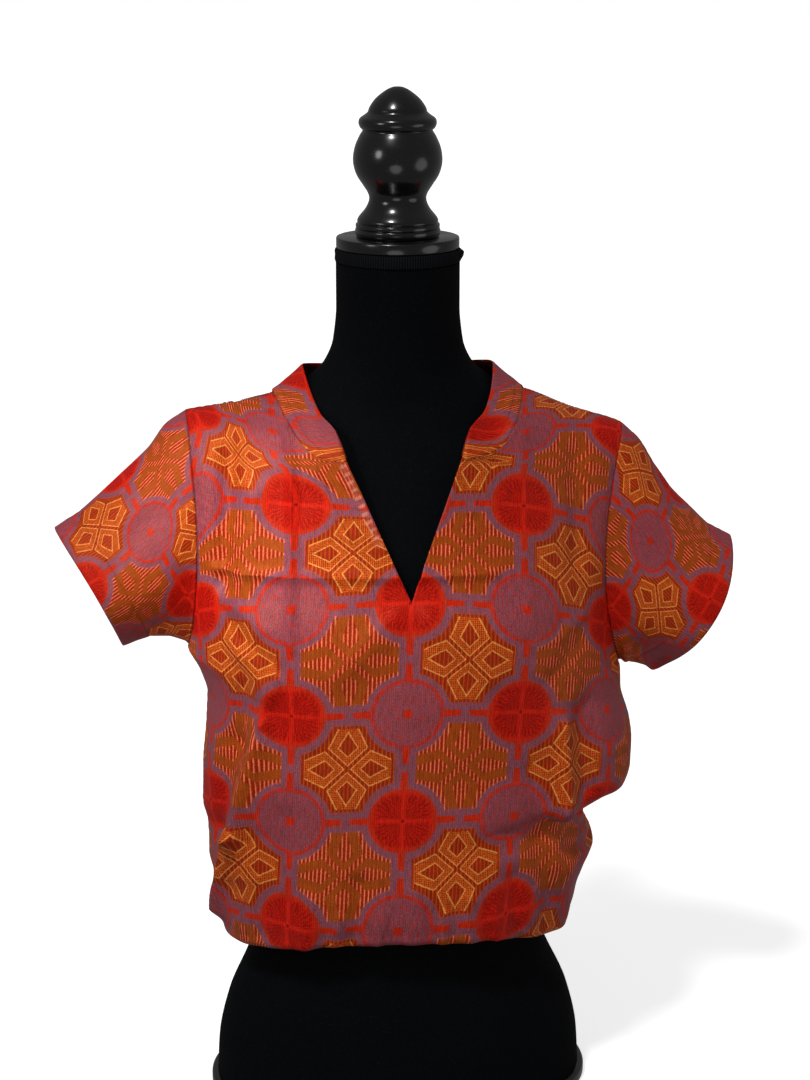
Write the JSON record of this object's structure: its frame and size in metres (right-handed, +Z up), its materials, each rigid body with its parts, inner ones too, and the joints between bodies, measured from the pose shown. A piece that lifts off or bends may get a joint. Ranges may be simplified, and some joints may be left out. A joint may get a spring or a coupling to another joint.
{
  "type": "blouse on a dress form",
  "caption": "Short-sleeved V-neck blouse with a stand collar in a lattice-and-roundel brocade, bloused at the hem, worn by a limbless tabletop dress form with a turned finial.",
  "frame": {"origin": "centre of the underside of the dress form's base board, on the form's upright axis", "axes": "+Z up the form's neck; the blouse's front faces -Y; +X is the wearer's left, the viewer's right"},
  "size_m": [0.5765, 0.2317, 0.8796],
  "materials": {
    "brocade": "satin-faced brocade, orange, red and lilac",
    "jersey": "matt black stretch jersey",
    "lacquer": "satin black lacquer on turned wood"
  },
  "bodies": {
    "root": {"front": "brocade", "back": "brocade", "sleeve_left": "brocade", "sleeve_right": "brocade", "collar": "brocade", "form_torso": "jersey", "form_neck_trim": "jersey", "form_disc": "lacquer", "form_finial": "lacquer", "form_base": "lacquer"}
  },
  "joints": []
}
